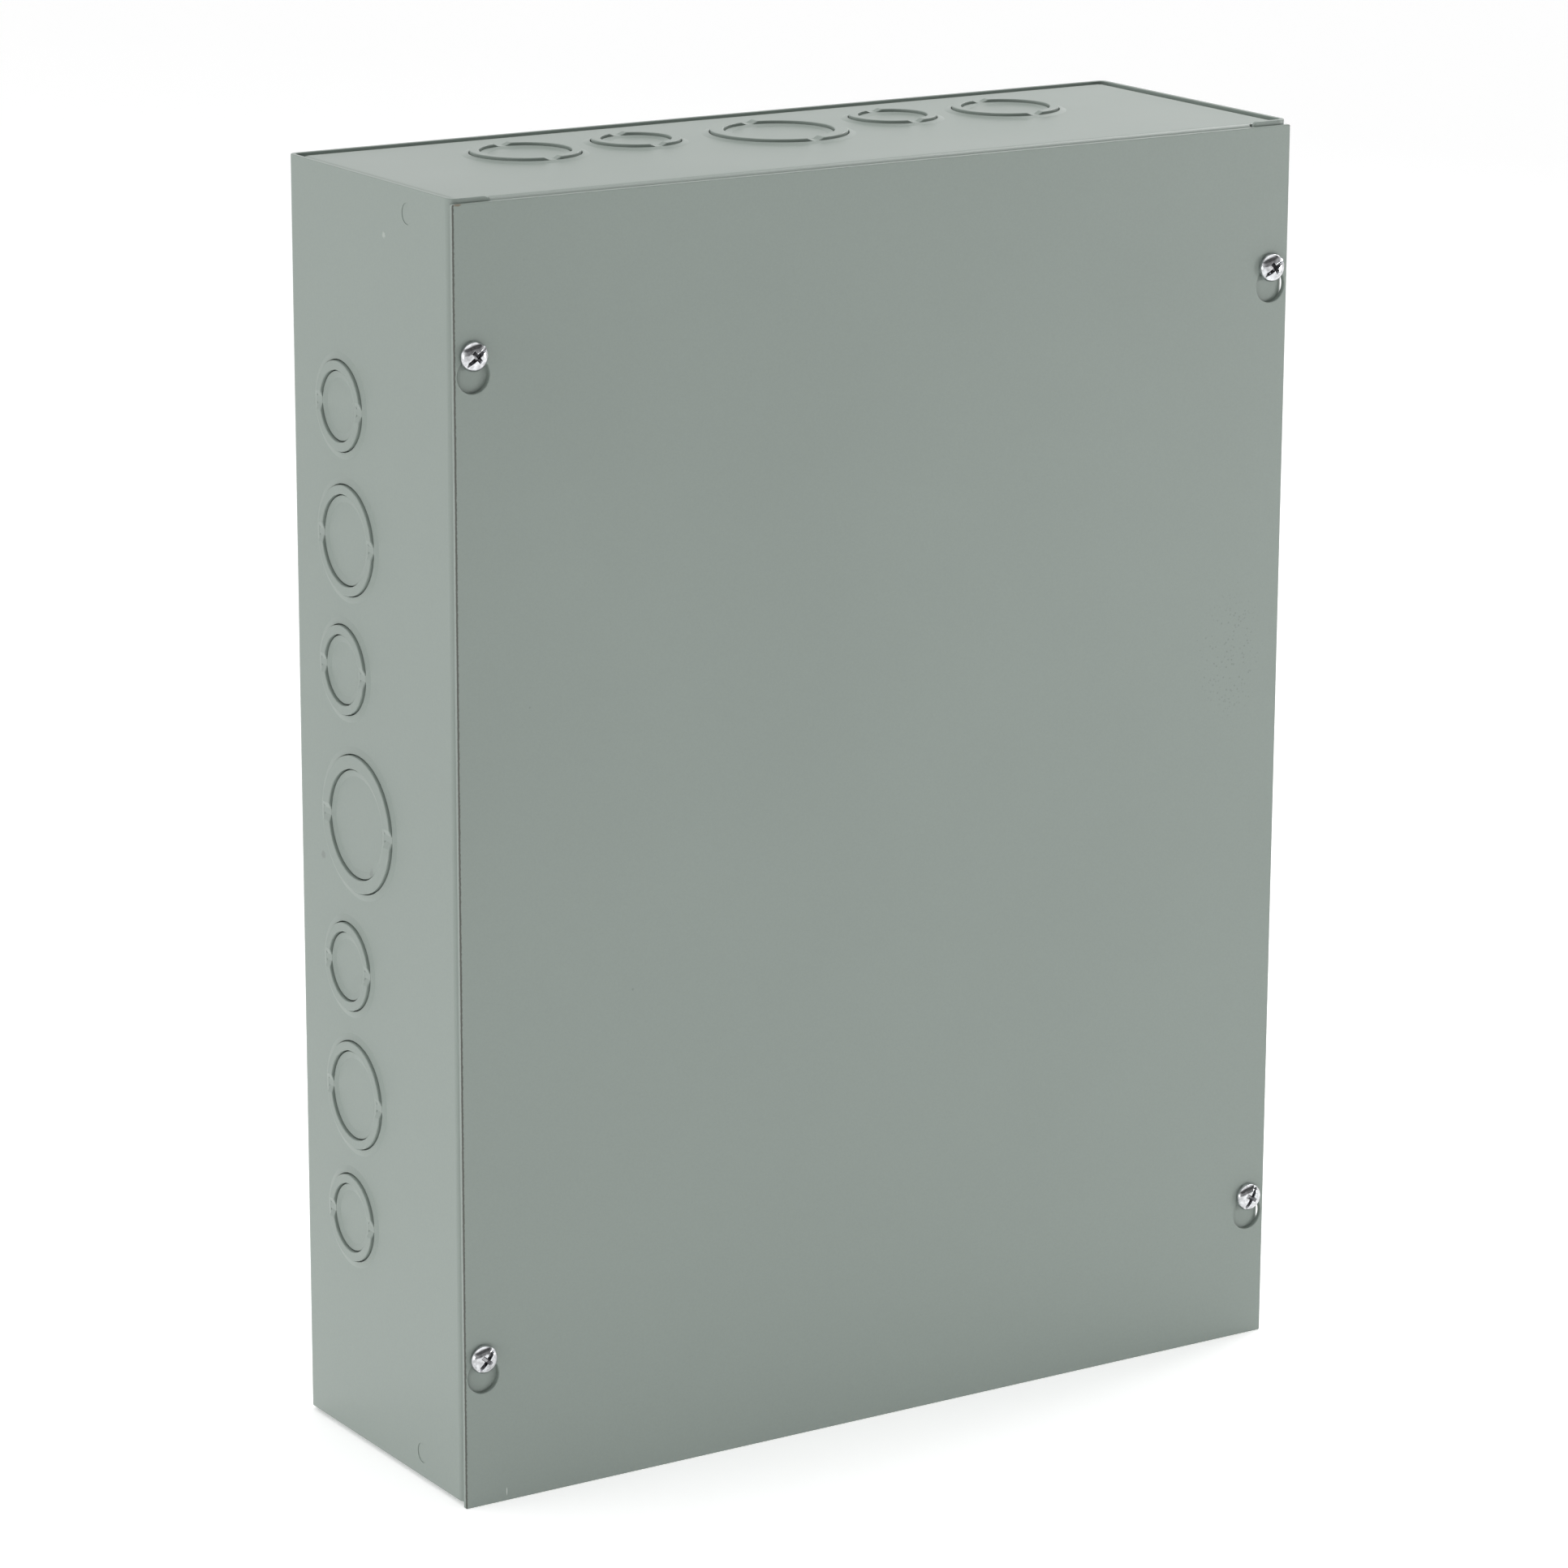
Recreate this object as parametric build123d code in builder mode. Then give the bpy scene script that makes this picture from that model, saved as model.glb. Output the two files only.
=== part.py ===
from build123d import *
import os

# Screw-cover pull box in folded sheet steel.
# X runs to the right, Y to the back and Z up. The origin is on the outer face of the back,
# at the centre of the four wall-mounting holes.

# ---------------------------------------------------------------- driving dimensions, mm
HEIGHT = 406.4
WIDTH = 304.8
DEPTH = 101.6
SHEET = 1.5
BEND_R = 3.0

FLANGE = 13.5
FLANGE_END_R = 2.0
CUT_EDGE_R = 0.3

END_RECESS = 0.6
END_FLANGE = 14.0
END_GAP = 0.5
FRONT_GAP = 0.3
CORNER_RELIEF = 3.3

COVER_DROP = 1.5
COVER_CORNER_R = 0.5

SCREW_EDGE = 6.5
SCREW_END = 46.8
SHANK_D = 4.8
SHANK_L = 12.7
SHANK_TIP = 0.8
SHANK_CLEARANCE = 0.05
HEAD_D = 9.3
HEAD_H = 3.0
HEAD_SHOULDER_H = 2.4
HEAD_EDGE_R = 1.7
SLOT_W = 1.2
SLOT_DEPTH = 1.3
CROSS_SPAN = 4.4
CROSS_W = 1.1
CROSS_DEPTH = 2.2
CROSS_FLARE = 10

KEYHOLE_SLOT_W = 5.8
KEYHOLE_ROUND_D = 11.1
KEYHOLE_DROP = 5.8

WALL_HOLE_D = 7.94
WALL_HOLE_SPAN_X = 254.0
WALL_HOLE_SPAN_Z = 355.6

# Concentric knockouts: the slug opens the smaller trade size, slug and ring the larger one.
KNOCKOUT_SIZES = {"small": (22.2, 28.6), "medium": (28.6, 34.9), "large": (34.9, 44.0)}
KNOCKOUT_BACK = 18.0
KNOCKOUT_NEAR = 47.6
KNOCKOUT_MID = 88.9
KNOCKOUT_FAR = 130.2
RING_RISE = 1.4
RING_EDGE_R = 0.35
SHEAR_GAP = 0.3
TIE_W = 2.0
TIE_RAMP = 2.0
TIE_BEND_R = 0.9
LIP_RISE = 0.5
LIP_W = 1.8
LIP_CREST = 0.45
LIP_BEND_R = 1.2
LIP_EDGE_R = 0.2

WELD_D = 6.5
WELD_DEPTH = 0.15
WELD_FROM_FRONT = 26.0
WELD_FROM_END = 8.0

# ---------------------------------------------------------------- worked-out values
END_FACE = HEIGHT / 2 - END_RECESS
INNER_HALF_W = WIDTH / 2 - SHEET
COVER_BACK = DEPTH
COVER_FRONT = DEPTH + SHEET
SCREW_X = WIDTH / 2 - SCREW_EDGE
SCREW_Z = HEIGHT / 2 - SCREW_END
THROUGH = 4 * SHEET
FACES_OUT = 0.1

SIDE_ROW = [
    (KNOCKOUT_FAR, "small"),
    (KNOCKOUT_MID, "medium"),
    (KNOCKOUT_NEAR, "small"),
    (0, "large"),
    (-KNOCKOUT_NEAR, "small"),
    (-KNOCKOUT_MID, "medium"),
    (-KNOCKOUT_FAR, "small"),
]
END_ROW = [
    (-KNOCKOUT_MID, "medium"),
    (-KNOCKOUT_NEAR, "small"),
    (0, "large"),
    (KNOCKOUT_NEAR, "small"),
    (KNOCKOUT_MID, "medium"),
]
ROWS = {"left": SIDE_ROW, "right": SIDE_ROW, "top": END_ROW, "bottom": END_ROW}
NORMALS = {"left": (-1, 0, 0), "right": (1, 0, 0), "top": (0, 0, 1), "bottom": (0, 0, -1)}

# Each screw: side along X, end along Z, and the angle at which its slot came to rest.
SCREWS = {
    "cover_screw_top_left": (-1, 1, 38),
    "cover_screw_top_right": (1, 1, 35),
    "cover_screw_bottom_left": (-1, -1, 50),
    "cover_screw_bottom_right": (1, -1, 60),
}

os.makedirs("parts", exist_ok=True)


def save(piece, name):
    """Label a finished piece and write it as one STEP file."""
    piece.label = name
    export_step(piece, f"parts/{name}.step")


def wall_plane(wall, along, from_back):
    """Plane on a wall's outer face, facing out, its x axis running to the back."""
    normal = NORMALS[wall]
    if wall in ("left", "right"):
        origin = (normal[0] * WIDTH / 2, -from_back, along)
    else:
        origin = (along, -from_back, normal[2] * END_FACE)
    return Plane(origin=origin, x_dir=(0, 1, 0), z_dir=normal)


def knockout_places(wall):
    """The plane and size name of each knockout in a wall."""
    found = []
    for along, size in ROWS[wall]:
        # The rows line up by the edge nearest the back, not by their centres.
        from_back = KNOCKOUT_BACK + KNOCKOUT_SIZES[size][1] / 2
        found.append((wall_plane(wall, along, from_back), size))
    return found


def open_knockouts(places):
    """Cut the round hole of each knockout and raise the shallow drawn lip around it."""
    for plane, size in places:
        with Locations(plane):
            Cylinder(KNOCKOUT_SIZES[size][1] / 2, THROUGH, mode=Mode.SUBTRACT)
            add(lips[size])


# ---------------------------------------------------------------- knockout shapes
# Each size once, on the XY plane: Z points out of the wall and X to the back. Ring and slug are
# sheared from the wall. The ring stands proud of it and dips at two ties, one at the front and
# one at the back, where it still holds on to the wall and to the slug.
lips = {}
rings = {}
slugs = {}
for size, (slug_d, ring_d) in KNOCKOUT_SIZES.items():
    hole_r = ring_d / 2
    slug_r = slug_d / 2 - SHEAR_GAP

    with BuildPart() as lip:
        with BuildSketch(Plane.XZ):
            with BuildLine():
                FilletPolyline(
                    (hole_r, -SHEET / 2),
                    (hole_r + LIP_CREST + 2 * LIP_W, -SHEET / 2),
                    (hole_r + LIP_CREST + 2 * LIP_W, 0),
                    (hole_r + LIP_CREST + LIP_W, 0),
                    (hole_r + LIP_CREST, LIP_RISE),
                    (hole_r, LIP_RISE),
                    radius=(0, 0, 0, LIP_BEND_R, LIP_BEND_R, LIP_EDGE_R),
                    close=True,
                )
            make_face()
        revolve(axis=Axis.Z)
    lips[size] = lip.part

    with BuildPart() as ring:
        with BuildSketch(Plane.XY.offset(-SHEET)):
            Circle(hole_r - SHEAR_GAP)
            Circle(slug_d / 2, mode=Mode.SUBTRACT)
        extrude(amount=SHEET + RING_RISE)
        with BuildSketch(Plane.YZ):
            with BuildLine():
                FilletPolyline(
                    (-hole_r, RING_RISE),
                    (-TIE_W / 2 - TIE_RAMP, RING_RISE),
                    (-TIE_W / 2, LIP_RISE),
                    (TIE_W / 2, LIP_RISE),
                    (TIE_W / 2 + TIE_RAMP, RING_RISE),
                    (hole_r, RING_RISE),
                    (hole_r, RING_RISE - SHEET),
                    (TIE_W / 2 + TIE_RAMP, RING_RISE - SHEET),
                    (TIE_W / 2, LIP_RISE - SHEET),
                    (-TIE_W / 2, LIP_RISE - SHEET),
                    (-TIE_W / 2 - TIE_RAMP, RING_RISE - SHEET),
                    (-hole_r, RING_RISE - SHEET),
                    radius=(0, *[TIE_BEND_R] * 4, 0, 0, *[TIE_BEND_R] * 4, 0),
                    close=True,
                )
            make_face()
        extrude(amount=hole_r, both=True, mode=Mode.INTERSECT)
        outward = ring.faces().filter_by(lambda f: f.normal_at(f.center()).Z > FACES_OUT)
        fillet(outward.edges().filter_by(GeomType.LINE, reverse=True), RING_EDGE_R)
        with BuildSketch(Plane.XY.offset(LIP_RISE - SHEET)):
            Circle(hole_r)
            Circle(slug_r, mode=Mode.SUBTRACT)
            Rectangle(2 * hole_r, TIE_W, mode=Mode.INTERSECT)
        extrude(amount=SHEET)
    rings[size] = ring.part

    with BuildPart() as slug:
        with BuildSketch(Plane.XZ):
            with BuildLine():
                FilletPolyline(
                    (0, -SHEET),
                    (slug_r, -SHEET),
                    (slug_r, LIP_RISE),
                    (slug_r - LIP_CREST, LIP_RISE),
                    (slug_r - LIP_CREST - LIP_W, 0),
                    (0, 0),
                    radius=(0, 0, LIP_EDGE_R, LIP_BEND_R, LIP_BEND_R, 0),
                    close=True,
                )
            make_face()
        revolve(axis=Axis.Z)
    slugs[size] = slug.part

# ---------------------------------------------------------------- wrapper
# Back, both side walls and the two front flanges, folded from one sheet.
with BuildPart() as wrapper:
    with BuildSketch(Plane.XY.offset(-HEIGHT / 2)):
        with Locations((0, -DEPTH / 2)):
            RectangleRounded(WIDTH, DEPTH, BEND_R)
            RectangleRounded(WIDTH - 2 * SHEET, DEPTH - 2 * SHEET, BEND_R - SHEET, mode=Mode.SUBTRACT)
        with Locations((0, -DEPTH)):
            Rectangle(WIDTH - 2 * FLANGE, 3 * SHEET, mode=Mode.SUBTRACT)
    extrude(amount=HEIGHT)
    flange_ends = (
        wrapper.edges()
        .filter_by(Axis.Y)
        .filter_by(lambda e: abs(abs(e.center().X) - (WIDTH / 2 - FLANGE)) < SHEET / 2)
    )
    fillet(flange_ends, FLANGE_END_R)
    ends = wrapper.faces().filter_by(Axis.Z).group_by(Axis.Z)
    fillet(ends[0].edges() + ends[-1].edges(), CUT_EDGE_R)
    open_knockouts(knockout_places("left") + knockout_places("right"))
    with BuildSketch(Plane.XZ):
        with GridLocations(WALL_HOLE_SPAN_X, WALL_HOLE_SPAN_Z, 2, 2):
            Circle(WALL_HOLE_D / 2)
    extrude(amount=THROUGH, mode=Mode.SUBTRACT)
    with BuildSketch(Plane.XZ.offset(DEPTH)):
        with GridLocations(2 * SCREW_X, 2 * SCREW_Z, 2, 2):
            Circle(SHANK_D / 2 + SHANK_CLEARANCE)
    extrude(amount=-THROUGH, mode=Mode.SUBTRACT)
    for wall in ("left", "right"):
        for end in (-1, 1):
            weld_z = end * (HEIGHT / 2 - WELD_FROM_END)
            with BuildSketch(wall_plane(wall, weld_z, DEPTH - WELD_FROM_FRONT)):
                Circle(WELD_D / 2)
            extrude(amount=-WELD_DEPTH, mode=Mode.SUBTRACT)
save(wrapper.part, "wrapper")

# ---------------------------------------------------------------- end plates
# Each is a shallow tray set just inside the end of the wrapper. Its flanges point into the box:
# the front one lies in the plane of the wrapper's flanges and fills the space between them.
for wall in ("top", "bottom"):
    base = wall_plane(wall, 0, 0).offset(-END_FLANGE)
    relief_x = (DEPTH + SHEET) / 2
    relief_y = INNER_HALF_W - CORNER_RELIEF / 2
    relief_span = DEPTH - SHEET - CORNER_RELIEF
    notch_w = FLANGE + END_GAP
    notch_depth = SHEET + FRONT_GAP
    with BuildPart() as end_plate:
        with BuildSketch(base):
            with Locations((-(DEPTH + SHEET) / 2, 0)):
                Rectangle(DEPTH - SHEET, 2 * INNER_HALF_W)
        extrude(amount=END_FLANGE)
        outer_bends = end_plate.faces().sort_by(Axis(base.origin, base.z_dir))[-1].edges()
        fillet(outer_bends, BEND_R)
        open_side = end_plate.faces().sort_by(Axis(base.origin, base.z_dir))[0]
        offset(amount=-SHEET, openings=open_side)
        flange_rim = end_plate.faces().sort_by(Axis(base.origin, base.z_dir))[0]
        fillet(flange_rim.edges(), CUT_EDGE_R)
        with BuildSketch(base):
            with Locations((-relief_x, 0)):
                with GridLocations(relief_span, 2 * relief_y, 2, 2):
                    Rectangle(CORNER_RELIEF, CORNER_RELIEF)
            with Locations((-DEPTH + notch_depth / 2, 0)):
                with GridLocations(0, WIDTH - notch_w, 1, 2):
                    Rectangle(notch_depth, notch_w)
        extrude(amount=END_FLANGE, mode=Mode.SUBTRACT)
        open_knockouts(knockout_places(wall))
    save(end_plate.part, f"{wall}_end_plate")

# ---------------------------------------------------------------- knockouts
for wall in ROWS:
    for number, (plane, size) in enumerate(knockout_places(wall), start=1):
        for kind, shapes in (("ring", rings), ("slug", slugs)):
            with BuildPart() as knockout:
                with Locations(plane):
                    add(shapes[size])
            save(knockout.part, f"{wall}_knockout_{number}_{kind}")

# ---------------------------------------------------------------- cover
# A flat plate that hangs on the four screws by its keyholes, so it sits a little low.
with BuildPart() as cover:
    with BuildSketch(Plane.XZ.offset(COVER_BACK)):
        with Locations((0, -COVER_DROP)):
            RectangleRounded(WIDTH, HEIGHT, COVER_CORNER_R)
        with GridLocations(2 * SCREW_X, 2 * SCREW_Z, 2, 2):
            Circle(KEYHOLE_SLOT_W / 2, mode=Mode.SUBTRACT)
            with Locations((0, -KEYHOLE_DROP / 2)):
                Rectangle(KEYHOLE_SLOT_W, KEYHOLE_DROP, mode=Mode.SUBTRACT)
            with Locations((0, -KEYHOLE_DROP)):
                Circle(KEYHOLE_ROUND_D / 2, mode=Mode.SUBTRACT)
    extrude(amount=SHEET)
    fillet(cover.faces().sort_by(Axis.Y)[0].edges(), CUT_EDGE_R)
save(cover.part, "cover")

# ---------------------------------------------------------------- cover screws
# Pan heads with a straight slot and a cross recess, tightened against the cover.
for name, (side, end, angle) in SCREWS.items():
    seat = Plane(
        origin=(side * SCREW_X, -COVER_FRONT, end * SCREW_Z), x_dir=(1, 0, 0), z_dir=(0, -1, 0)
    )
    half_section = Plane(origin=seat.origin, x_dir=seat.x_dir, z_dir=-seat.y_dir)
    with BuildPart() as screw:
        with BuildSketch(half_section):
            with BuildLine():
                FilletPolyline(
                    (0, HEAD_H),
                    (0, 0),
                    (HEAD_D / 2, 0),
                    (HEAD_D / 2, HEAD_SHOULDER_H),
                    radius=(0, 0, 0, HEAD_EDGE_R),
                    close=True,
                )
            make_face()
        revolve(axis=Axis(seat.origin, seat.z_dir))
        with BuildSketch(seat):
            Circle(SHANK_D / 2)
        extrude(amount=-SHANK_L)
        shank_end = screw.faces().sort_by(Axis(seat.origin, seat.z_dir))[0]
        chamfer(shank_end.edges(), SHANK_TIP)
        with BuildSketch(seat.offset(HEAD_H - SLOT_DEPTH)):
            Rectangle(2 * HEAD_D, SLOT_W, rotation=angle)
        extrude(amount=HEAD_H, mode=Mode.SUBTRACT)
        with BuildSketch(seat.offset(HEAD_H - CROSS_DEPTH)):
            Rectangle(CROSS_SPAN, CROSS_W, rotation=angle)
            Rectangle(CROSS_W, CROSS_SPAN, rotation=angle)
        extrude(amount=HEAD_H, taper=-CROSS_FLARE, mode=Mode.SUBTRACT)
    save(screw.part, name)
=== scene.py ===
import math

import bmesh
import bpy
from mathutils import Matrix, Vector


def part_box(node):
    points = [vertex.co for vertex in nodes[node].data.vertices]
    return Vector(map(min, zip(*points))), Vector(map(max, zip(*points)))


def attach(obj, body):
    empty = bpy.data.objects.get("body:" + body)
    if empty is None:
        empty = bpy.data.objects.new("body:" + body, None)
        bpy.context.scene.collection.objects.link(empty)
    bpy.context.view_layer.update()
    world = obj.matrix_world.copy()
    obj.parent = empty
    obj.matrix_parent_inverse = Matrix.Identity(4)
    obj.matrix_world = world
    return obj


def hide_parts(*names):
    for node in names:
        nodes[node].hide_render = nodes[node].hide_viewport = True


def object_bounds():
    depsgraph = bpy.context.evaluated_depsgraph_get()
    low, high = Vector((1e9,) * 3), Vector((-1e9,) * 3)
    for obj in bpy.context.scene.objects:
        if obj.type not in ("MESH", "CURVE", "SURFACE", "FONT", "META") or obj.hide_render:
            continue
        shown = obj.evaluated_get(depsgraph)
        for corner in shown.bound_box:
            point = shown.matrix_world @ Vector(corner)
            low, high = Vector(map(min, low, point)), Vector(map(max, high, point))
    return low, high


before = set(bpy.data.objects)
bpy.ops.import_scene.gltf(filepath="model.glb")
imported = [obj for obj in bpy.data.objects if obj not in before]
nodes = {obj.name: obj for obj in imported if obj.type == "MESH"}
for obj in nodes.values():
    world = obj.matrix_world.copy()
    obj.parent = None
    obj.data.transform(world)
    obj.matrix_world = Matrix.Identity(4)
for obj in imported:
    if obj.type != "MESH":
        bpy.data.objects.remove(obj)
cad_lo, cad_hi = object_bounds()
scene = bpy.context.scene

# ---------------------------------------------------------------- view
CAMERA_AT = (-0.9824, -1.5935, 0.4828)
CAMERA_AIM = (-0.0036, -0.0500, -0.0056)
CAMERA_ROLL = math.radians(0.22)
CAMERA_LENS_MM = 135.5
SENSOR_MM = 36.0

# ---------------------------------------------------------------- colours, linear
GREY = (0.243, 0.285, 0.259)
SPECK = (0.10, 0.115, 0.105)
RUST = (0.16, 0.10, 0.05)
# Dark colour of the painted shade in the crevice along the cover's left edge.
CREVICE_SHADE = (0.045, 0.045, 0.035)
SCRATCH = (0.62, 0.64, 0.62)
ZINC = (0.72, 0.73, 0.75)
# Dark colour painted into the screws' drive recess as painted shade.
RECESS_SHADE = (0.26, 0.26, 0.27)
FLOOR = (0.92, 0.92, 0.92)

# ---------------------------------------------------------------- stage, metres
FLOOR_HALF = 14.0
FLOOR_CELLS = 8
GLOW_CENTRE = (-0.05, -0.40, cad_lo[2])
GLOW_REACH = (0.25, 0.90)
GLOW_STRENGTH = (0.42, 0.13)

# Square soft lamps: name, place, point faced, side of the square and watts.
LAMPS = [
    ("key", (1.3, 0.5, 1.15), (0.05, -0.05, 0.1), 0.9, 11),
    ("fill", (1.8, -1.2, 0.0), (0.1, -0.1, -0.1), 0.5, 11),
    ("low_left", (-1.8, -0.5, -0.1), (-0.1, -0.05, -0.1), 0.9, 5),
]

# World brightness by direction, each as (from, to) along one axis and the brightness at each.
SWEEP = (0.30, 0.55, 1.15, 0.35)
CEILING = (0.60, 0.85, 0.0, 1.3)
DARK_FRONT = (-0.1, 0.8, 0.0, 0.86)
BRIGHT_LEFT = (0.2, 0.9, 0.0, 0.22)
WORLD_LEAST = 0.12

# ---------------------------------------------------------------- screws, metres
THREAD_PITCH = 0.794e-3
THREAD_DEPTH = 0.45e-3
THREAD_PITCH_STEPS = 6
THREAD_TIP = 0.8e-3
HEAD_RIM_H = 0.45e-3
HEAD_CHAMFER = 0.2e-3
HEAD_SQUARENESS = 2.7
HEAD_RINGS = 16
HEAD_STEPS = 96
HEAD_CLEARANCE = 0.02e-3
SMOOTH_BELOW = math.radians(35)
SOFTEN_ABOVE = math.radians(50)
SOFTEN_SEGMENTS = 2
SHANK_D = 4.8e-3
SLOT_L = 20e-3
SLOT_W = 1.2e-3
SLOT_DEPTH = 1.3e-3
CROSS_SPAN = 5.2e-3
CROSS_W = 1.6e-3
CROSS_DEPTH = 2.3e-3
CROSS_TAPER = 0.55
EDGE_SOFTEN = 0.07e-3

# Angle at which each slot came to rest.
SLOT_ANGLES = {
    "cover_screw_top_left": 38,
    "cover_screw_top_right": 35,
    "cover_screw_bottom_left": 50,
    "cover_screw_bottom_right": 60,
}

# ---------------------------------------------------------------- finish of the surfaces
# Pairs for remap(), either a span to map from or two values to map to. Lengths are in metres.
NOISE_SPAN = (0.3, 0.7)
CLOUD_TONE = (0.98, 1.02)
GRAIN_TONE = (0.975, 1.025)
COAT_ROUGHNESS = (0.36, 0.43)
NIB_PICK = (0.93, 0.95)
NIB_STRENGTH = (0.0, 0.6)
NIB_SIZE = (0.018, 0.032)
FINE_SPECK_SIZE = (0.12, 0.3)
# Noise span and colour scale of the dark blotches painted on the zinc as painted dark reflections.
ZINC_REFLECTION_SPAN = (0.35, 0.65)
ZINC_REFLECTION_TONE = (0.6, 1.0)
ZINC_ROUGHNESS = (0.07, 0.15)
# Depth and radius spans of the painted shade in the screws' drive recess; its strength is set below.
RECESS_SHADE_DEPTH = (0.25e-3, 0.9e-3)
RECESS_SHADE_RADIUS = (2.7e-3, 3.3e-3)
MARK_EDGE = (1.1, 1.6)
INSIDE_TO_OUT = (1.0, 0.0)
RECESS_SHADE_STRENGTH = 0.85
FLOOR_ROUGHNESS = 0.9
FLOOR_SPECULAR = 0.1

# ---------------------------------------------------------------- marks on the coat, metres
# Each mark: centre, radii along X, Y and Z, colour and strength.
MARKS = [
    ((-0.1506, -0.1031, 0.2016), (0.0014, 0.0010, 0.0005), RUST, 0.65),
    ((-0.1380, -0.1031, -0.2015), (0.0002, 0.0010, 0.0014), SCRATCH, 0.8),
    ((-0.1524, -0.0160, -0.0154), (0.0020, 0.0014, 0.0014), SPECK, 0.35),
    ((-0.1524, -0.0480, -0.0138), (0.0020, 0.0016, 0.0015), SPECK, 0.35),
    ((-0.1524, -0.0610, 0.1868), (0.0020, 0.0010, 0.0010), SCRATCH, 0.3),
]
# Centre, radii and strength of a patch of fine specks, and of the dark line of painted shade along
# the cover's left edge.
SPECK_PATCH = ((0.133, -0.1031, 0.031), (0.013, 0.004, 0.022), 0.35)
EDGE_CREVICE_SHADE = ((-0.15240, -0.10310, 0.0), (0.0005, 0.0005, 0.8), 0.85)


# ---------------------------------------------------------------- node helpers
def put(tree, kind, **inputs):
    """Add a shader node and set its inputs by name, an underscore standing for a space."""
    made = tree.nodes.new(kind)
    for key, value in inputs.items():
        made.inputs[key.replace("_", " ")].default_value = value
    return made


def new_material(name):
    """A material with one Principled shader, and that shader's node."""
    material = bpy.data.materials.new(name)
    material.use_nodes = True
    material.node_tree.nodes.clear()
    shader = material.node_tree.nodes.new("ShaderNodeBsdfPrincipled")
    output = material.node_tree.nodes.new("ShaderNodeOutputMaterial")
    material.node_tree.links.new(shader.outputs["BSDF"], output.inputs["Surface"])
    return material, shader


def remap(tree, source, low, high, to_low, to_high):
    """Map a value from one range to another, clamped."""
    made = put(tree, "ShaderNodeMapRange", From_Min=low, From_Max=high, To_Min=to_low, To_Max=to_high)
    tree.links.new(source, made.inputs["Value"])
    return made.outputs["Result"]


def combine(tree, operation, first, second):
    """A Math node on two sockets, or on a socket and a number."""
    made = tree.nodes.new("ShaderNodeMath")
    made.operation = operation
    for slot, value in enumerate((first, second)):
        if isinstance(value, (int, float)):
            made.inputs[slot].default_value = value
        else:
            tree.links.new(value, made.inputs[slot])
    return made.outputs[0]


def tint(tree, under, colour, amount):
    """Blend a plain colour over a colour socket by an amount socket."""
    made = tree.nodes.new("ShaderNodeMix")
    made.data_type = "RGBA"
    for socket in made.inputs:
        if socket.name == "B" and socket.type == "RGBA":
            socket.default_value = (*colour, 1)
        if socket.name == "A" and socket.type == "RGBA":
            tree.links.new(under, socket)
    tree.links.new(amount, made.inputs["Factor"])
    return next(s for s in made.outputs if s.type == "RGBA")


def spot(tree, place, centre, radii, strength):
    """How much of an ellipsoid mark covers a point, soft and ragged at its edge."""
    offset = tree.nodes.new("ShaderNodeVectorMath")
    offset.operation = "SUBTRACT"
    tree.links.new(place, offset.inputs[0])
    offset.inputs[1].default_value = centre
    scaled = tree.nodes.new("ShaderNodeVectorMath")
    scaled.operation = "DIVIDE"
    tree.links.new(offset.outputs["Vector"], scaled.inputs[0])
    scaled.inputs[1].default_value = radii
    size = tree.nodes.new("ShaderNodeVectorMath")
    size.operation = "LENGTH"
    tree.links.new(scaled.outputs["Vector"], size.inputs[0])
    ragged = put(tree, "ShaderNodeTexNoise", Scale=1400.0, Detail=2.0)
    tree.links.new(place, ragged.inputs["Vector"])
    reach = combine(tree, "ADD", size.outputs["Value"], ragged.outputs["Fac"])
    return remap(tree, reach, *MARK_EDGE, strength, 0.0)


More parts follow.
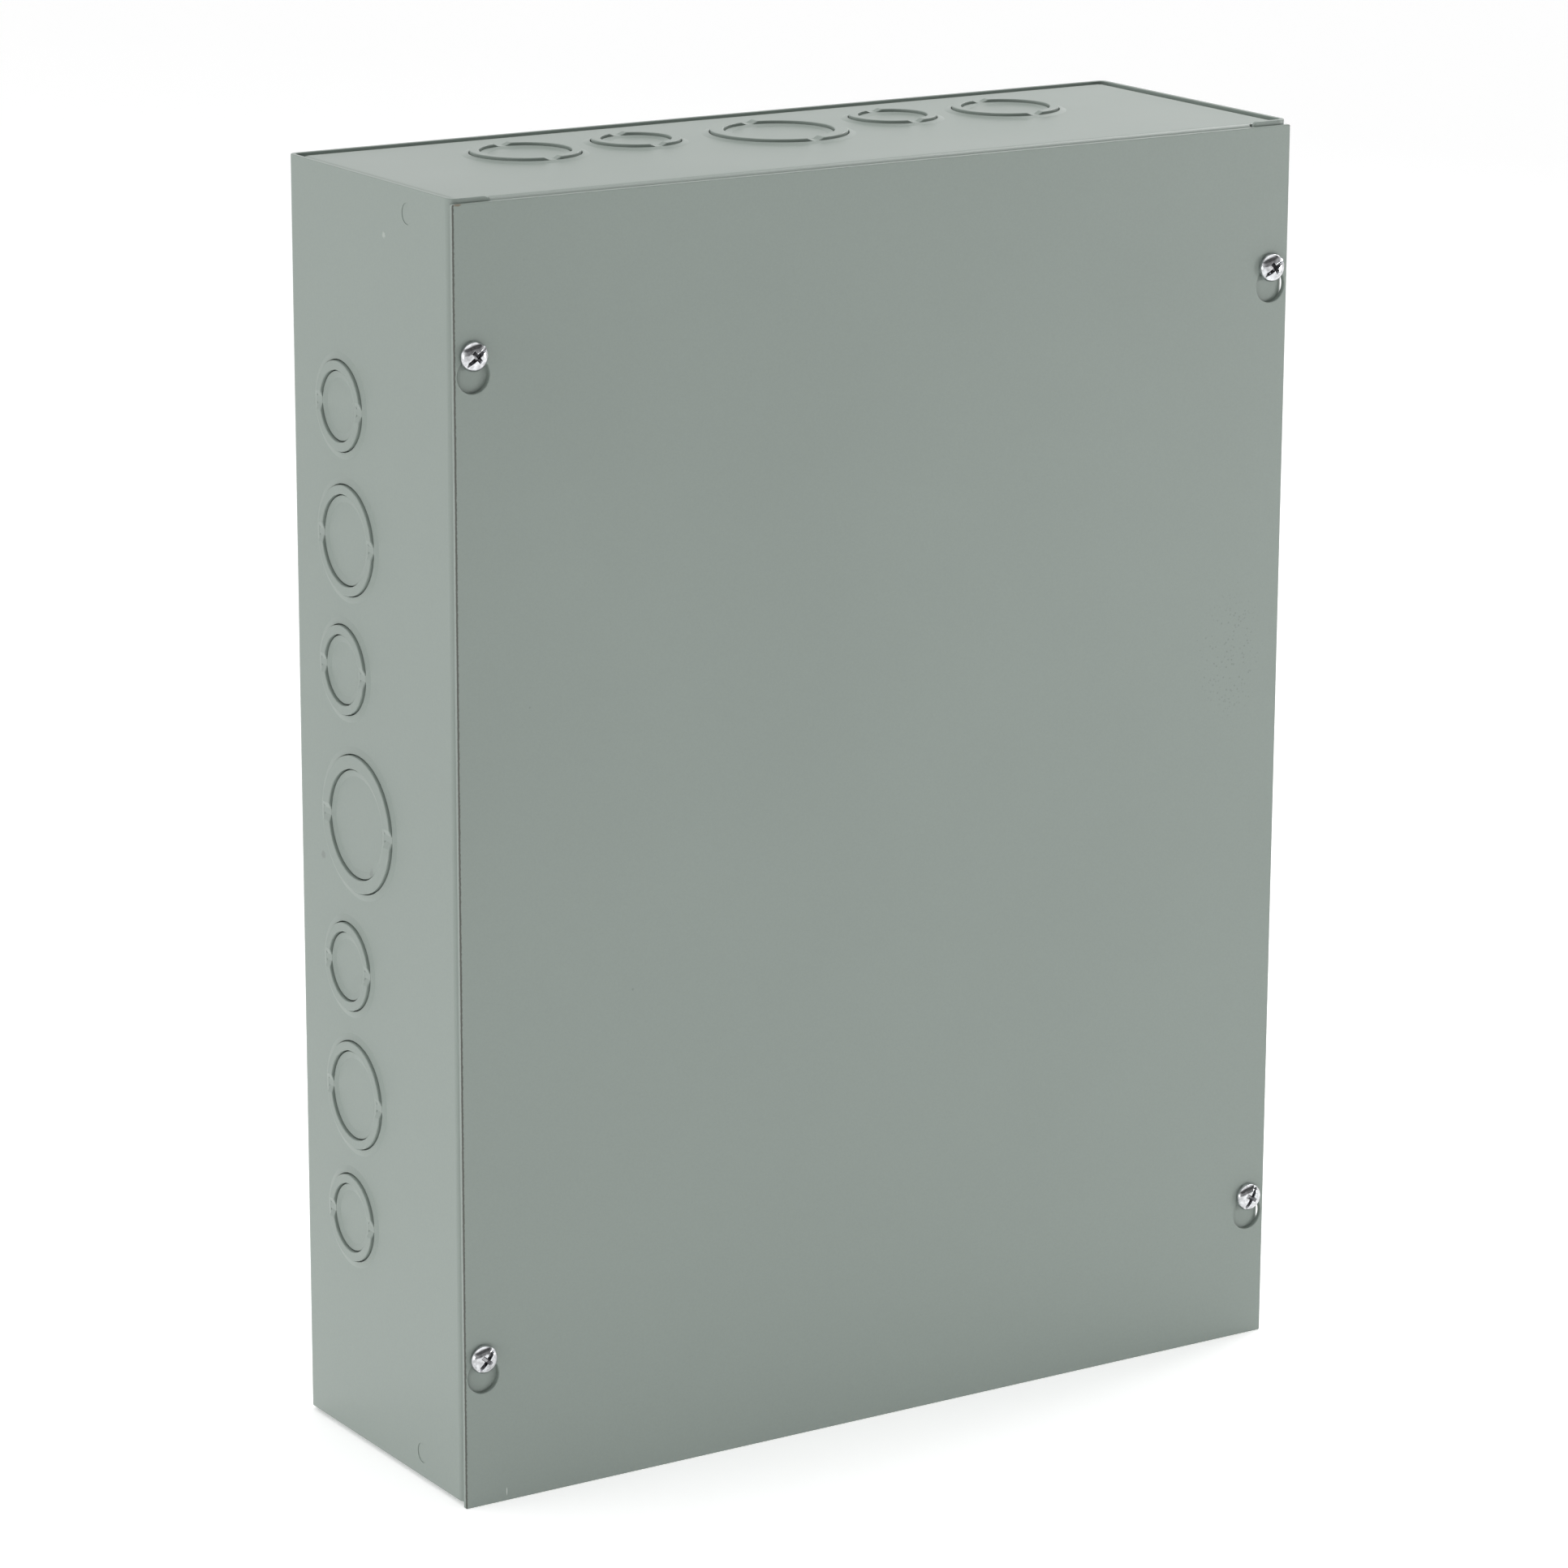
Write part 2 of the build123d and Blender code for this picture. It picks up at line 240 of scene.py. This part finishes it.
def powder_coat():
    """Satin powder coat: orange peel, cloudy tone, dust nibs, a few marks of handling, and painted
    shade along the cover's left edge.
    """
    material, shader = new_material("powder_coat")
    tree = material.node_tree
    link = tree.links.new
    place = tree.nodes.new("ShaderNodeTexCoord").outputs["Object"]

    cloud = put(tree, "ShaderNodeTexNoise", Scale=9.0, Detail=3.0, Roughness=0.5)
    link(place, cloud.inputs["Vector"])
    grain = put(tree, "ShaderNodeTexNoise", Scale=1500.0, Detail=3.0, Roughness=0.7)
    link(place, grain.inputs["Vector"])
    tone = combine(
        tree,
        "MULTIPLY",
        remap(tree, cloud.outputs["Fac"], *NOISE_SPAN, *CLOUD_TONE),
        remap(tree, grain.outputs["Fac"], *NOISE_SPAN, *GRAIN_TONE),
    )
    shade = tree.nodes.new("ShaderNodeVectorMath")
    shade.operation = "SCALE"
    shade.inputs[0].default_value = GREY
    link(tone, shade.inputs["Scale"])
    colour = shade.outputs["Vector"]

    # Sparse dark dust nibs: cell centres, kept only in a few cells picked by the cell's colour.
    nib = put(tree, "ShaderNodeTexVoronoi", Scale=55.0, Randomness=1.0)
    link(place, nib.inputs["Vector"])
    pick = tree.nodes.new("ShaderNodeSeparateColor")
    link(nib.outputs["Color"], pick.inputs["Color"])
    kept = remap(tree, pick.outputs["Red"], *NIB_PICK, *NIB_STRENGTH)
    dot = remap(tree, nib.outputs["Distance"], *NIB_SIZE, *INSIDE_TO_OUT)
    colour = tint(tree, colour, SPECK, combine(tree, "MULTIPLY", kept, dot))

    # A faint patch of fine specks near the cover's right edge, just above half height.
    patch = spot(tree, place, *SPECK_PATCH)
    fine = put(tree, "ShaderNodeTexVoronoi", Scale=700.0, Randomness=1.0)
    link(place, fine.inputs["Vector"])
    fine_dot = remap(tree, fine.outputs["Distance"], *FINE_SPECK_SIZE, *INSIDE_TO_OUT)
    colour = tint(tree, colour, SPECK, combine(tree, "MULTIPLY", patch, fine_dot))

    # A dark ragged line of painted shade along the cover's left edge stands in for the crevice
    # between the cover and the side's bend.
    colour = tint(tree, colour, CREVICE_SHADE, spot(tree, place, *EDGE_CREVICE_SHADE))

    for centre, radii, mark_colour, strength in MARKS:
        colour = tint(tree, colour, mark_colour, spot(tree, place, centre, radii, strength))
    link(colour, shader.inputs["Base Color"])

    rough = remap(tree, cloud.outputs["Fac"], *NOISE_SPAN, *COAT_ROUGHNESS)
    link(rough, shader.inputs["Roughness"])

    peel = put(tree, "ShaderNodeTexNoise", Scale=620.0, Detail=2.0, Roughness=0.45)
    link(place, peel.inputs["Vector"])
    wave = put(tree, "ShaderNodeTexNoise", Scale=60.0, Detail=1.0)
    link(place, wave.inputs["Vector"])
    fine_bump = put(tree, "ShaderNodeBump", Strength=0.3, Distance=0.00005)
    link(peel.outputs["Fac"], fine_bump.inputs["Height"])
    broad_bump = put(tree, "ShaderNodeBump", Strength=0.25, Distance=0.0001)
    link(wave.outputs["Fac"], broad_bump.inputs["Height"])
    link(fine_bump.outputs["Normal"], broad_bump.inputs["Normal"])
    link(broad_bump.outputs["Normal"], shader.inputs["Normal"])
    return material


def zinc_plate():
    """Bright zinc plate with cloudy dark blotches painted as dark reflections, and painted shade in
    the drive recess.
    """
    material, shader = new_material("zinc_plate")
    tree = material.node_tree
    link = tree.links.new
    place = tree.nodes.new("ShaderNodeTexCoord").outputs["Object"]
    cloud = put(tree, "ShaderNodeTexNoise", Scale=700.0, Detail=3.0, Roughness=0.6)
    link(place, cloud.inputs["Vector"])
    # Cloudy dark blotches in the colour are painted reflections of a dark surround.
    shade = tree.nodes.new("ShaderNodeVectorMath")
    shade.operation = "SCALE"
    shade.inputs[0].default_value = ZINC
    link(remap(tree, cloud.outputs["Fac"], *ZINC_REFLECTION_SPAN, *ZINC_REFLECTION_TONE), shade.inputs["Scale"])

    # Painted shade darkens the drive recess. Folded onto one corner, all four screws share one axis.
    lo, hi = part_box("cover_screw_top_right")
    folded = tree.nodes.new("ShaderNodeVectorMath")
    folded.operation = "ABSOLUTE"
    link(place, folded.inputs[0])
    across = tree.nodes.new("ShaderNodeVectorMath")
    across.operation = "MULTIPLY"
    link(folded.outputs["Vector"], across.inputs[0])
    across.inputs[1].default_value = (1, 0, 1)
    radial = tree.nodes.new("ShaderNodeVectorMath")
    radial.operation = "DISTANCE"
    link(across.outputs["Vector"], radial.inputs[0])
    radial.inputs[1].default_value = ((lo[0] + hi[0]) / 2, 0, (lo[2] + hi[2]) / 2)
    split = tree.nodes.new("ShaderNodeSeparateXYZ")
    link(place, split.inputs[0])
    near, far = (lo[1] + depth for depth in RECESS_SHADE_DEPTH)
    deep = remap(tree, split.outputs["Y"], near, far, 0.0, RECESS_SHADE_STRENGTH)
    central = remap(tree, radial.outputs["Value"], *RECESS_SHADE_RADIUS, *INSIDE_TO_OUT)
    recess_shade = combine(tree, "MULTIPLY", deep, central)
    link(tint(tree, shade.outputs["Vector"], RECESS_SHADE, recess_shade), shader.inputs["Base Color"])
    shader.inputs["Metallic"].default_value = 1.0
    rough = remap(tree, cloud.outputs["Fac"], *NOISE_SPAN, *ZINC_ROUGHNESS)
    link(rough, shader.inputs["Roughness"])
    dent = put(tree, "ShaderNodeTexNoise", Scale=420.0, Detail=1.0)
    link(place, dent.inputs["Vector"])
    bump = put(tree, "ShaderNodeBump", Strength=0.5, Distance=0.00012)
    link(dent.outputs["Fac"], bump.inputs["Height"])
    link(bump.outputs["Normal"], shader.inputs["Normal"])
    return material


def pale_floor():
    """Plain pale studio floor that glows a little in front of the box, as a bounce card would."""
    material, shader = new_material("pale_floor")
    tree = material.node_tree
    offset = tree.nodes.new("ShaderNodeVectorMath")
    offset.operation = "DISTANCE"
    tree.links.new(tree.nodes.new("ShaderNodeTexCoord").outputs["Object"], offset.inputs[0])
    offset.inputs[1].default_value = GLOW_CENTRE
    glow = remap(tree, offset.outputs["Value"], *GLOW_REACH, *GLOW_STRENGTH)
    tree.links.new(glow, shader.inputs["Emission Strength"])
    shader.inputs["Base Color"].default_value = (*FLOOR, 1)
    shader.inputs["Roughness"].default_value = FLOOR_ROUGHNESS
    shader.inputs["Specular IOR Level"].default_value = FLOOR_SPECULAR
    shader.inputs["Emission Color"].default_value = (1, 1, 1, 1)
    return material


# ---------------------------------------------------------------- cover screws
def lathe(form, rings, steps):
    """Skin rings of (radius, depth) pairs, one pair per step, and close both ends on the axis."""
    rows = []
    for ring in rings:
        row = []
        for step, (radius, depth) in enumerate(ring):
            angle = 2 * math.pi * step / steps
            row.append(form.verts.new((radius * math.cos(angle), depth, radius * math.sin(angle))))
        rows.append(row)
    for near, far in zip(rows, rows[1:]):
        for step in range(steps):
            after = (step + 1) % steps
            form.faces.new((near[step], near[after], far[after], far[step]))
    for row, depth in ((rows[0], rings[0][0][1]), (rows[-1], rings[-1][0][1])):
        tip = form.verts.new((0, depth, 0))
        for step in range(steps):
            form.faces.new((row[step], row[(step + 1) % steps], tip))
    bmesh.ops.recalc_face_normals(form, faces=form.faces)


def head_outline(radius, height):
    """(radius, depth) pairs of a pan head from its crown to its seat. The seat is at depth 0."""
    outline = []
    for ring in range(1, HEAD_RINGS + 1):
        sweep = math.pi / 2 * ring / HEAD_RINGS
        reach = radius * math.sin(sweep) ** (2 / HEAD_SQUARENESS)
        outline.append((reach, -HEAD_RIM_H - (height - HEAD_RIM_H) * math.cos(sweep)))
    outline.append((radius, -HEAD_CHAMFER))
    outline.append((radius - HEAD_CHAMFER, 0.0))
    return outline


def screw_body(radius, head_h, shank_l):
    """One closed screw, head towards -Y, with a real helical thread."""
    form = bmesh.new()
    steps = HEAD_STEPS
    rings = [[pair] * steps for pair in head_outline(radius, head_h)]
    shank_r = SHANK_D / 2
    rings.append([(shank_r - THREAD_DEPTH, 0.0)] * steps)
    count = int(shank_l / THREAD_PITCH * THREAD_PITCH_STEPS)
    for row in range(1, count + 1):
        depth = shank_l * row / count
        ring = []
        for step in range(steps):
            phase = (depth / THREAD_PITCH - step / steps) % 1.0
            crest = 1 - abs(2 * phase - 1)
            fade = min(1.0, depth / THREAD_PITCH, (shank_l - depth) / THREAD_TIP)
            ring.append((shank_r - THREAD_DEPTH + THREAD_DEPTH * crest * fade, depth))
        rings.append(ring)
    lathe(form, rings, steps)
    return form


def recess_cutter(angle, head_h):
    """The straight slot and the tapered cross recess as one set of closed cutters."""
    form = bmesh.new()
    top = -head_h - SLOT_DEPTH
    turn = Matrix.Rotation(-math.radians(angle), 4, "Y")
    cross_floor = -head_h + CROSS_DEPTH
    blocks = (
        (SLOT_L, SLOT_W, -head_h + SLOT_DEPTH, 1.0),
        (CROSS_SPAN, CROSS_W, cross_floor, CROSS_TAPER),
        (CROSS_W, CROSS_SPAN, cross_floor, CROSS_TAPER),
    )
    for length, width, bottom, taper in blocks:
        made = bmesh.ops.create_cube(form, size=1.0)["verts"]
        for vert in made:
            deep = vert.co.y > 0
            shrink = taper if deep else 1.0
            vert.co = (
                vert.co.x * length * shrink,
                bottom if deep else top,
                vert.co.z * width * shrink,
            )
    bmesh.ops.transform(form, matrix=turn, verts=form.verts)
    return form


def mesh_object(name, form):
    """Turn a bmesh into an object in the scene."""
    mesh = bpy.data.meshes.new(name)
    form.to_mesh(mesh)
    form.free()
    made = bpy.data.objects.new(name, mesh)
    scene.collection.objects.link(made)
    return made


def make_screw(node, angle, finish):
    """A detailed screw in the place of its plain CAD node."""
    lo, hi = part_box(node)
    radius = (hi[0] - lo[0]) / 2
    seat = Vector(((lo[0] + hi[0]) / 2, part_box("cover")[0][1], (lo[2] + hi[2]) / 2))
    head_h = seat.y - lo[1]
    form = screw_body(radius - HEAD_CLEARANCE, head_h, hi[1] - seat.y)
    body = mesh_object(f"{node}_turned", form)
    cutter = mesh_object("recess_cutter", recess_cutter(angle, head_h))
    cut = body.modifiers.new("recess", "BOOLEAN")
    cut.operation = "DIFFERENCE"
    cut.solver = "EXACT"
    cut.use_self = True
    cut.object = cutter
    soften = body.modifiers.new("soften", "BEVEL")
    soften.width = EDGE_SOFTEN
    soften.segments = SOFTEN_SEGMENTS
    soften.limit_method = "ANGLE"
    soften.angle_limit = SOFTEN_ABOVE
    bpy.context.view_layer.update()
    mesh = bpy.data.meshes.new_from_object(body.evaluated_get(bpy.context.evaluated_depsgraph_get()))
    body.modifiers.clear()
    body.data = mesh
    bpy.data.objects.remove(cutter)
    for polygon in mesh.polygons:
        polygon.use_smooth = True
    mesh.set_sharp_from_angle(angle=SMOOTH_BELOW)
    mesh.materials.clear()
    mesh.materials.append(finish)
    mesh.transform(Matrix.Translation(seat))
    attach(body, "cover_screws")
    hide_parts(node)


# ---------------------------------------------------------------- looks
coat = powder_coat()
zinc = zinc_plate()
for name, piece in nodes.items():
    for slot in piece.material_slots:
        slot.material = zinc if name.startswith("cover_screw") else coat
for name, angle in SLOT_ANGLES.items():
    make_screw(name, angle, zinc)

# ---------------------------------------------------------------- stage
floor_form = bmesh.new()
bmesh.ops.create_grid(
    floor_form, x_segments=FLOOR_CELLS, y_segments=FLOOR_CELLS, size=FLOOR_HALF
)
bmesh.ops.translate(floor_form, verts=floor_form.verts, vec=(0, 0, cad_lo[2]))
floor = mesh_object("floor", floor_form)
floor.data.materials.append(pale_floor())


def area_light(name, at, aim, size, power):
    """A square soft light that faces a point."""
    lamp = bpy.data.lights.new(name, "AREA")
    lamp.shape = "SQUARE"
    lamp.size = size
    lamp.energy = power
    made = bpy.data.objects.new(name, lamp)
    made.location = at
    made.rotation_mode = "QUATERNION"
    made.rotation_quaternion = (Vector(aim) - Vector(at)).to_track_quat("-Z", "Y")
    scene.collection.objects.link(made)


def studio_world():
    """A white sweep at the horizon, a bright ceiling, and a darker side in front of the box."""
    world = bpy.data.worlds.new("studio")
    world.use_nodes = True
    tree = world.node_tree
    ray = tree.nodes.new("ShaderNodeTexCoord").outputs["Generated"]
    split = tree.nodes.new("ShaderNodeSeparateXYZ")
    tree.links.new(ray, split.inputs[0])
    rise = split.outputs["Z"]
    front = combine(tree, "MULTIPLY", split.outputs["Y"], -1.0)
    left = combine(tree, "MULTIPLY", split.outputs["X"], -1.0)
    total = combine(tree, "ADD", remap(tree, rise, *SWEEP), remap(tree, rise, *CEILING))
    total = combine(tree, "SUBTRACT", total, remap(tree, front, *DARK_FRONT))
    total = combine(tree, "ADD", total, remap(tree, left, *BRIGHT_LEFT))
    total = combine(tree, "MAXIMUM", total, WORLD_LEAST)
    background = tree.nodes["Background"]
    tree.links.new(total, background.inputs["Strength"])
    background.inputs["Color"].default_value = (1, 1, 1, 1)
    return world


for lamp_facts in LAMPS:
    area_light(*lamp_facts)
scene.world = studio_world()
scene.view_settings.view_transform = "Standard"

# ---------------------------------------------------------------- camera
camera = bpy.data.objects.new("camera", bpy.data.cameras.new("camera"))
camera.data.lens = CAMERA_LENS_MM
camera.data.sensor_width = SENSOR_MM
camera.location = CAMERA_AT
camera.rotation_mode = "QUATERNION"
aim = (Vector(CAMERA_AIM) - Vector(CAMERA_AT)).to_track_quat("-Z", "Y")
camera.rotation_quaternion = aim @ Matrix.Rotation(CAMERA_ROLL, 3, "Z").to_quaternion()
scene.collection.objects.link(camera)
scene.camera = camera
